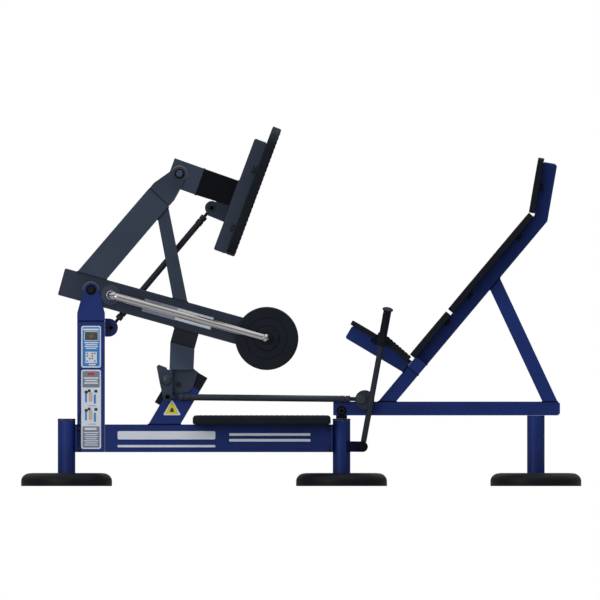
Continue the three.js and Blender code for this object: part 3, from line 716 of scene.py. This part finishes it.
WELDS = (
    ("frame", ((-662, BEAM_TOP), (-523, BEAM_TOP)), 30),
    ("frame", ((333, SEAT_BEAM_TOP), (411.3, SEAT_BEAM_TOP)), 30),
    ("frame", ((1044, SEAT_BEAM_TOP), (1110, SEAT_BEAM_TOP)), 30),
    ("frame", (flat(back(749, -BACK_DEPTH)), flat(back(682.5, -BACK_DEPTH))), 30),
    ("frame", (flat(back(257.6, 0)), flat(back(257.6, -BACK_DEPTH))), 30),
    ("frame", (flat(back(199.4, 0)), flat(back(199.4, -BACK_DEPTH))), 30),
    ("frame", (flat(back(167, 0)), flat(back(197, 0))), 30),
    ("press_arm", (flat(arm(-77.6, 60)), flat(arm(53, 60))), 30),
    ("press_arm", (flat(arm(350.3, 60)), flat(arm(417.2, 60))), 30),
    ("press_arm", ((-575, 1208), (-621, 1154)), 30),
    ("press_arm", (flat(arm(390, -60)), flat(arm(498, -60))), 30),
    ("foot_carriage", (flat(foot(199, 0.8)), flat(foot(314, 0.8))), 22),
    ("foot_carriage", (flat(foot_arm(95.4, -63)), flat(foot_arm(95.4, 57))), 22.5),
)
CHEEK_WELDS = (
    ("frame", ((-968, 714.5), (-852, 714.5)), 3.0),
    ("press_arm", ((-655, 1291), (-572, 1214.5)), 2.4),
)
caps(
    "stop_seams",
    "frame",
    [(stop, (62.5, 145), (58, 61.5), SEAM_YS), (stop, (202.5, 206), (-58, 58), SEAM_YS)],
)
caps("column_seam", "press_arm", [(arm, (394, 498), (-129, -125), SEAM_YS)])

for body in ("frame", "press_arm", "foot_carriage"):
    beads = Shape()
    for owner, ends, half in WELDS:
        if owner == body:
            bead(beads, across(*ends, half))
    for owner, ends, radius in CHEEK_WELDS:
        for _, side in SIDES:
            if owner == body:
                bead(beads, [level(*end, side * (CHEEK_OUT - 0.4)) for end in ends], False, radius)
    if body == "foot_carriage":
        bead(beads, [foot(u, 0.8, y) for u, y in ((128, 31), (198, 31), (198, 47), (128, 47))], radius=2.4)
    # painted shade: the beads take the shaded blue or the dark grey, so the seams read as dark shadow
    # lines
    piece(f"{body}_welds", beads, body, SHADED_BLUE if body == "frame" else SHADE)


# ---------------------------------------------------------------- chrome rails and discs
def load_rail(place, side):
    """A chrome loop: a stub on each horn, two elbows and a long run, with a collar and two bands."""

    def rail_point(u, y):
        """A point of the loop, y outwards from the arm's middle plane."""
        return arm(u, 0, side * y)

    path = []
    for horn, inwards in ((HORNS[0], 1), (HORNS[1], -1)):
        stretch = [rail_point(horn, y) for y in (BOSS_FACE + GAP, 60, 80)]
        start, middle, end = ((horn, 96.0), (horn, RAIL_REACH), (horn + inwards * RAIL_BEND, RAIL_REACH))
        for i in range(13):
            t = i / 12
            weights = ((1 - t) ** 2, 2 * t * (1 - t), t * t)
            u, y = (sum(w * c for w, c in zip(weights, axis)) for axis in zip(start, middle, end))
            stretch.append(rail_point(u, y))
        path += stretch if inwards > 0 else stretch[::-1]
    rail = Shape().tube(path, RAIL_RADIUS, 40)
    collar = [(16.2, 0.4), (20, 0.4), (21, 1.4), (21, 4), (19, 6.5), (17.4, 7.5), (16.2, 7.5)]
    rail.revolve(arm(HORNS[0], 0, side * BOSS_FACE), ACROSS * side, collar, 56, looped=True)
    band = [(15.5, -7), (18.6, -7), (19.8, -5.6), (19.8, 5.6), (18.6, 7), (15.5, 7)]
    for u in (HORNS[0] + 10, HORNS[1] - 6):
        rail.revolve(rail_point(u, RAIL_REACH - 3), arm(1, 0) - arm(0, 0), band, 48, looped=True)
    piece(f"load_rail_{place}_chrome", rail, "press_arm", CHROME, (f"load_rail_{place}",))


def horn_bosses(place, side):
    """The low round boss at the foot of each horn."""
    boss = [(37, 0), (42.4, 0), (43.4, 0.8), (43.4, 7.4), (42.4, 8.3), (20, 8.3), (20, 7.8), (37, 7.8)]
    for index, horn in enumerate(HORNS):
        shape = Shape().revolve(arm(horn, 0, side * TUBE_HALF), ACROSS * side, boss, 72, looped=True)
        piece(f"horn_boss_{place}_{index}", shape, "press_arm", ARM)


def weight_disc(place, side):
    """A disc with a raised hub, shallow round grooves and a chamfered rim."""
    face = [(17, DISC_HALF), (24, DISC_HALF), (25.5, 21), (27, 21), (28.5, DISC_HALF), (50, DISC_HALF)]
    face += [(51.5, 21.8), (53.5, 17.4), (55, 17.4), (56, 18.6), (86, 18.6), (87.2, 17), (89.6, 17)]
    face += [(91, 18.6), (129, 18.6), (133, 17.6), (135.6, 15), (137, 11)]
    profile = face + [(radius, -height) for radius, height in reversed(face)]
    centre = arm(HORNS[1], 0, side * (BOSS_FACE + 2 + DISC_HALF))
    disc = Shape().revolve(centre, ACROSS * side, profile, 112, looped=True)
    piece(f"weight_disc_{place}_moulding", disc, f"weight_{place}", IRON, (f"weight_disc_{place}",))


for place, side in SIDES:
    load_rail(place, side)
    horn_bosses(place, side)
    weight_disc(place, side)


# ---------------------------------------------------------------- rods
def tie_rod(rod, ends, y, radius, sleeve, materials):
    """A tube with a stepped sleeve, a threaded neck and an eye at both (place, bore, thread) ends."""
    first, last = (level(*place, y) for place, _, _ in ends)
    length = (last - first).length
    shape = Shape()
    for origin, other, (_, bore, thread) in ((first, last, ends[0]), (last, first, ends[1])):
        axis = (other - origin).normalized()
        eye = [(bore, -8), (15, -8), (16, -7), (16, 7), (15, 8), (bore, 8)]
        shape.revolve(origin, ACROSS, eye, 48, looped=True)
        neck = [(1, 13), (8.2, 14), (8.2, 20), (thread + 0.3, 26)]
        for i in range(10):
            neck += [(thread - 0.7, 27 + 2.1 * i), (thread, 27.7 + 2.1 * i), (thread, 28.2 + 2.1 * i)]
        shape.revolve(origin, axis, [*neck, (thread - 0.5, 50), (1, 50)], 28, 1)
        collar = [(1, 48), (sleeve - 1.2, 48), (sleeve, 49.2), (sleeve, 67), (sleeve - 1, 68)]
        collar += [(sleeve - 3, 68.2), (sleeve - 3, 71.8), (sleeve - 1, 72), (sleeve, 73), (sleeve, 93.6)]
        collar += [(sleeve - 1, 94.8), (sleeve - 3, 95), (sleeve - 3, 98), (1, 98)]
        shape.revolve(origin, axis, collar, 40)
    barrel = [(radius - 1, 96.6), (radius, 97.6), (radius, length - 97.6), (radius - 1, length - 96.6)]
    shape.revolve(first, (last - first).normalized(), barrel, 40)
    piece(f"{rod}_bar", shape, rod, materials, (rod,))


LINK_EYES = ((LINK_ENDS[0], 7, 6.9), (LINK_ENDS[1], 9.5, 6.9))
LOCK_EYES = ((CATCH_PIN, 9.5, 6.9), (LEVER_PIN, 7, 9.4))
tie_rod("link_rod", LINK_EYES, LINK_Y, 13.5, 15, (BAR, STEEL))
tie_rod("lock_rod", LOCK_EYES, LOCK_Y, 14, 14.4, (ROD, NUT))

# ---------------------------------------------------------------- catch
dome = [(22.6, 0), (24, 1.2)]
dome += [(24 * cos(radians(a)), 1.2 + 13.8 * sin(radians(a))) for a in range(8, 89, 8)]
shaft = Shape().revolve(level(*CATCH_PIVOT), ACROSS, [(10, -69), (10, 69)], 40)
for place, outwards in both(CATCH_PIVOT, 70.3):
    shaft.revolve(place, outwards, dome, 64)
piece("catch_shaft_domes", shaft, "catch", DOME, ("catch_shaft",))

screw = Shape().socket(level(*CATCH_PIN, -70.2), -ACROSS, 15.6, 8.2, 4)
screw.washer(level(*CATCH_PIN, -44.6), ACROSS, 13, 0, 2)
screw.hexagon(level(*CATCH_PIN, -44.6), ACROSS, 10, 2, 8)
piece("catch_crank_bolt", screw, "catch", (STEEL, HOLE))

# ---------------------------------------------------------------- lever
base = level(*LEVER_PIVOT)
lean = (LEVER_TOP - base).normalized()
reach = (LEVER_TOP - base).length
lever = Shape().revolve(base, lean, [(8, 14), (9.6, 16), (10, 19), (12.5, 26), (12.5, reach - 8)], 40)
eye = [(8.3, -18), (20, -18), (21, -17), (21, 17), (20, 18), (8.3, 18)]
lever.revolve(base, ACROSS, eye, 56, looped=True)
plate = [(1, -13), (40.8, -13), (42, -12), (42, -2.2), (40.8, -1), (1, -1)]
lever.revolve(level(275, 373.7, LOCK_Y - 9), ACROSS, plate, 72)
lever.revolve(level(*LEVER_PIN), ACROSS, [(6.7, LOCK_Y - 20), (6.7, LOCK_Y + 9)], 32)
piece("lock_lever_tube", lever, "lock_lever", ROD, ("lock_lever",))

pin_head = Shape()
cap = [(19, 0), (20.4, 1), (21, 2.4), (21, 9), (20, 10.8), (18, 11.6), (1, 12)]
pin_head.revolve(level(*LEVER_PIN, LOCK_Y - 22.2), -ACROSS, cap, 56)
pin_head.washer(level(*LEVER_PIN, LOCK_Y + 9.3), ACROSS, 13, 0, 2)
pin_head.hexagon(level(*LEVER_PIN, LOCK_Y + 9.3), ACROSS, 10, 2, 8)
piece("lever_pin_bolt", pin_head, "lock_lever", DOME)

# outline of the grip, measured down from the lever's top: flange, three rings, fine ridges, end knob
outline = [(12.8, 173), (17.6, 173), (19.6, 171), (19.6, 167), (17.8, 165.5)]
for i in range(3):
    outline += [(17.8, 164 - 7 * i), (19.2, 162.8 - 7 * i), (19.2, 159.4 - 7 * i), (17.8, 158.2 - 7 * i)]
for i in range(26):
    outline += [(17.4, 140 - 5 * i), (17.4, 136.4 - 5 * i), (16.9, 135.9 - 5 * i), (16.9, 135.4 - 5 * i)]
outline += [(17.6, 9), (21.6, 7), (23.6, 5), (23.6, 3), (22, 1), (12, 0), (1, 0), (1, 7.5), (12.8, 7.5)]
grip = Shape().revolve(base, lean, [(radius, reach - down) for radius, down in outline], 48, looped=True)
piece("lever_grip_moulding", grip, "lock_lever", RUBBER, ("lever_grip",))

# ---------------------------------------------------------------- step, foot board and pads
step = Shape().slab(level, (-470, 128), 150, (270.5, 306.8), 14, 15)
step.bars(level, (-448, 106), ((-134, -6), (6, 134)), 306.2, 307.4, pitch=22, width=12)
step.block(level, (-466, 124), (267.3, 270.8), (-147, 147), paint=1)
step.block(level, (-460, 118), (266.5, 268), SEAM_YS, paint=1)
piece("step_pad_mat", step, "frame", (RUBBER, PLUG), ("step_pad",))


def seatwards(u, v, y):
    """The foot frame's axes with v turned towards the seat."""
    return foot(u, -v, y)


board = Shape().slab(seatwards, (-2, 587), 275, (FRAME_DEPTH + 0.1, 95.6), 100, 8)
columns = ((-262, -93), (-82, 82), (93, 262))
board.bars(seatwards, (10, 574), columns, 95.2, 96.7, pitch=21, width=12, half=262, corner=88)
for _, side in SIDES:
    ys = sorted((side * 191, side * 206))
    board.block(seatwards, (7, 578), (FRAME_DEPTH - 0.8, FRAME_DEPTH + 1), ys, 1)
piece("foot_board_mat", board, "foot_carriage", (RUBBER, STRIP), ("foot_board",))

straps = Shape()
for u in (114.0, 382.0):
    for _, side in SIDES:
        straps.block(foot, (u - 17, u + 17), (-54, -35), sorted((side * 190.2, side * 192.6)))
        for du in (-8, 8):
            straps.socket(foot(u + du, -44.5, side * 192.4), ACROSS * side, 7.4, 3.4, 3.2, paint=1, dark=2)
piece("foot_board_straps", straps, "foot_carriage", (SHADE, GREY, HOLE), bevel=0.6)


def cushion(name, place, us, half, node, vs=(0.05, 26.2)):
    """A firm moulded pad with a barely crowned face, and the two halves of its backing board."""
    shape = Shape().slab(place, us, half, vs, 14, 4, 0.6)
    for _, side in SIDES:
        ys = sorted((side * 31, side * (half - 8)))
        shape.block(place, (us[0] + 2, us[1] - 2), (-0.7, vs[0] + 0.6), ys, 1)
    piece(name, shape, "frame", (PAD, PLUG), (node,))


cushion("seat_front_cushion", seat, (-13, 119), 145, "seat_front_pad", (0.05, 20.9))
cushion("back_cushion_lower", back, (245, 489), 150, "back_pad_lower")
cushion("back_cushion_upper", back, (501, 1046.5), 150, "back_pad_upper")
cushion("head_cushion", head, (7.5, 250), 150, "head_pad")


def ribbed_line(start, end, pitch, height):
    """Points of a line from start to end with round ribs standing on it."""
    (x0, z0), (x1, z1) = start, end
    length = hypot(x1 - x0, z1 - z0)
    ux, uz = (x1 - x0) / length, (z1 - z0) / length
    count = int(length // pitch)
    margin = (length - count * pitch) / 2
    points = [start]
    for i in range(count):
        for t in range(9):
            along = margin + (i + t / 9) * pitch
            lift = height * sqrt(max(0.0, 1 - (2 * t / 9 - 1) ** 2))
            points.append((x0 + ux * along - uz * lift, z0 + uz * along + ux * lift))
    return points + [end]


RIB_TOP = ribbed_line((475.5, 557.8), (346.6, 669.8), 17.0, -3.2)
under = [flat(seat(117.2, -0.4)), (398, 588), (452, 540.8), (459, 535.7)]
ribbed = Shape().prism([*under, *RIB_TOP, (333, 664)], -145, 145)
ribbed_pad = piece("seat_rear_cushion", ribbed, "frame", PAD, ("seat_rear_pad",), bevel=1.2)

# ---------------------------------------------------------------- pad fasteners
TABS = ((seat, 113, -12), (back, 454, -11), (back, 605, -11), (back, 938, -11), (head, 128, -11))
tabs = Shape()
for where, u, v in TABS:
    for _, side in SIDES:
        tabs.block(where, (u - 16, u + 16), (v - 9, v + 9), sorted((side * 30.2, side * 32.4)))
        for du in (-8, 8):
            tabs.socket(where(u + du, v, side * 32.2), ACROSS * side, 5.4, 3.2, 2.2, paint=1, dark=2)
piece("pad_fastener_tabs", tabs, "frame", (PLUG, BLUE, HOLE), bevel=0.5)


# ---------------------------------------------------------------- plain labels
PRINTS = (
    WHITE_PRINT,
    GREY_PRINT,
    BLUE_PRINT,
    DARK_PRINT,
    SLATE_PRINT,
    BEIGE_PRINT,
    RED_PRINT,
    GREEN_PRINT,
)
PALE, SILVER, SKY, INK, SLATE, BEIGE, RED, GREEN = range(len(PRINTS))
PANEL, PANEL_INSIDE = (-952.6, -866.9), (-947, -872.5)


def label(name, place, y, blocks, body):
    """Thin printed plates on a side face, without lettering; a block is (us, vs, paint, layer, corner)."""
    shape = Shape()
    for us, vs, paint, layer, corner in blocks:
        mid = [(a + b) / 2 for a, b in (us, vs)]
        reach = [(b - a) / 2 - corner for a, b in (us, vs)]
        outline = rounded_rectangle(mid, reach, corner, 5)
        shape.loft([[place(u, v, z) for u, v in outline] for z in (y - 0.3 - 0.1 * layer, y)], paint)
    piece(name, shape, body, PRINTS)


def text_rows(left, right, top, pitch, height, count):
    """Plain pale bars of uneven length, in rows downwards from top."""
    rows = []
    for i in range(count):
        draw = (0, 5, 2, 8)[i % 4]
        low = top - i * pitch - height
        rows.append(((left + draw, right - draw), (low, low + height), PALE, 2, 1.0))
    return rows


def pictogram(left, low):
    """A plain sign of two posts, a figure and three dark pads, as blocks."""
    sign = (
        ((2, 10), (6, 46), SKY, 2, 2),
        ((40, 49), (0, 40), SKY, 2, 2),
        ((0, 14), (44, 56), INK, 3, 3),
        ((42, 56), (48, 60), INK, 3, 3),
        ((18, 34), (8, 52), BEIGE, 2, 6),
        ((14, 26), (50, 62), INK, 3, 3),
    )
    return [
        ((left + u0, left + u1), (low + v0, low + v1), paint, layer, corner)
        for (u0, u1), (v0, v1), paint, layer, corner in sign
    ]


arm_strip = [((236, 312), (-30, 26), SLATE, 0, 2), ((312, 546), (-30, 26), SILVER, 0, 2)]
arm_strip += [((384, 542), (-27, 23), PALE, 1, 2)]
label("arm_label", arm, -TUBE_HALF, arm_strip, "press_arm")

info = [(PANEL, (513, 694), PALE, 0, 9), (PANEL_INSIDE, (518.6, 688.4), SKY, 1, 5)]
info += [((-944, -876), (674, 682), PALE, 2, 2), ((-940, -878), (629, 670), PALE, 2, 6)]
info += [((-937.5, -880.5), (631.5, 667.5), GREEN, 3, 4), ((-917, -901), (643, 655), RED, 4, 4)]
info += [*text_rows(-940, -878, 624, 8.4, 5, 4), ((-934, -885), (533, 582), PALE, 2, 2)]
info += [
    ((-930 + 11 * i, -923 + 11 * i), (538 + 11 * j, 545 + 11 * j), SLATE, 3, 1)
    for i, j in ((0, 0), (3, 0), (1, 1), (2, 1), (0, 2), (2, 2), (0, 3), (3, 3), (2, 3))
]
info += [((-920, -890), (523, 529), PALE, 2, 2)]
label("info_panel", level, -CHEEK_OUT, info, "frame")

guide = [(PANEL, (161, 504), PALE, 0, 9), (PANEL_INSIDE, (427, 498), SLATE, 1, 5)]
guide += [((-924, -895), (479, 491), RED, 2, 2), *text_rows(-941, -878, 471, 11, 6, 3)]
for low in (357, 278):
    guide += [*pictogram(-938, low), ((-920, -890), (low - 11, low - 8), SILVER, 2, 1)]
guide += [(PANEL_INSIDE, (166.5, 259), SLATE, 1, 5), ((-938, -886), (243, 253), PALE, 2, 3)]
guide += text_rows(-941, -878, 234, 9, 4, 7)
label("guide_panel", level, -CHEEK_OUT, guide, "frame")

stripes = [((-795, -372), (202, 238), PALE, 0, 6), ((-795, -372), (168, 178), PALE, 0, 3)]
stripes += [((-312, 40), (218, 229), PALE, 0, 3), ((-312, 40), (193, 204), PALE, 0, 3)]
label("beam_stripes", level, -TUBE_HALF, stripes, "frame")

triangle = Shape()
rim = [(-3, 40.5), (3, 40.5), (36.8, -19), (34, -23), (-34, -23), (-36.8, -19)]
mark = [(-9, -9), (9, -9), (5, 8), (-5, 8)]
for paint, corners, grow, lift in ((0, rim, 1.0, 0.4), (1, rim, 0.76, 0.7), (2, mark, 1.0, 1.0)):
    outline = [(-559.6 + x * grow, 330.0 + z * grow) for x, z in corners]
    triangle.prism(outline, -TUBE_HALF - lift, -TUBE_HALF, paint)
piece("caution_triangle", triangle, "frame", (WHITE_PRINT, YELLOW_PRINT, DARK_PRINT))
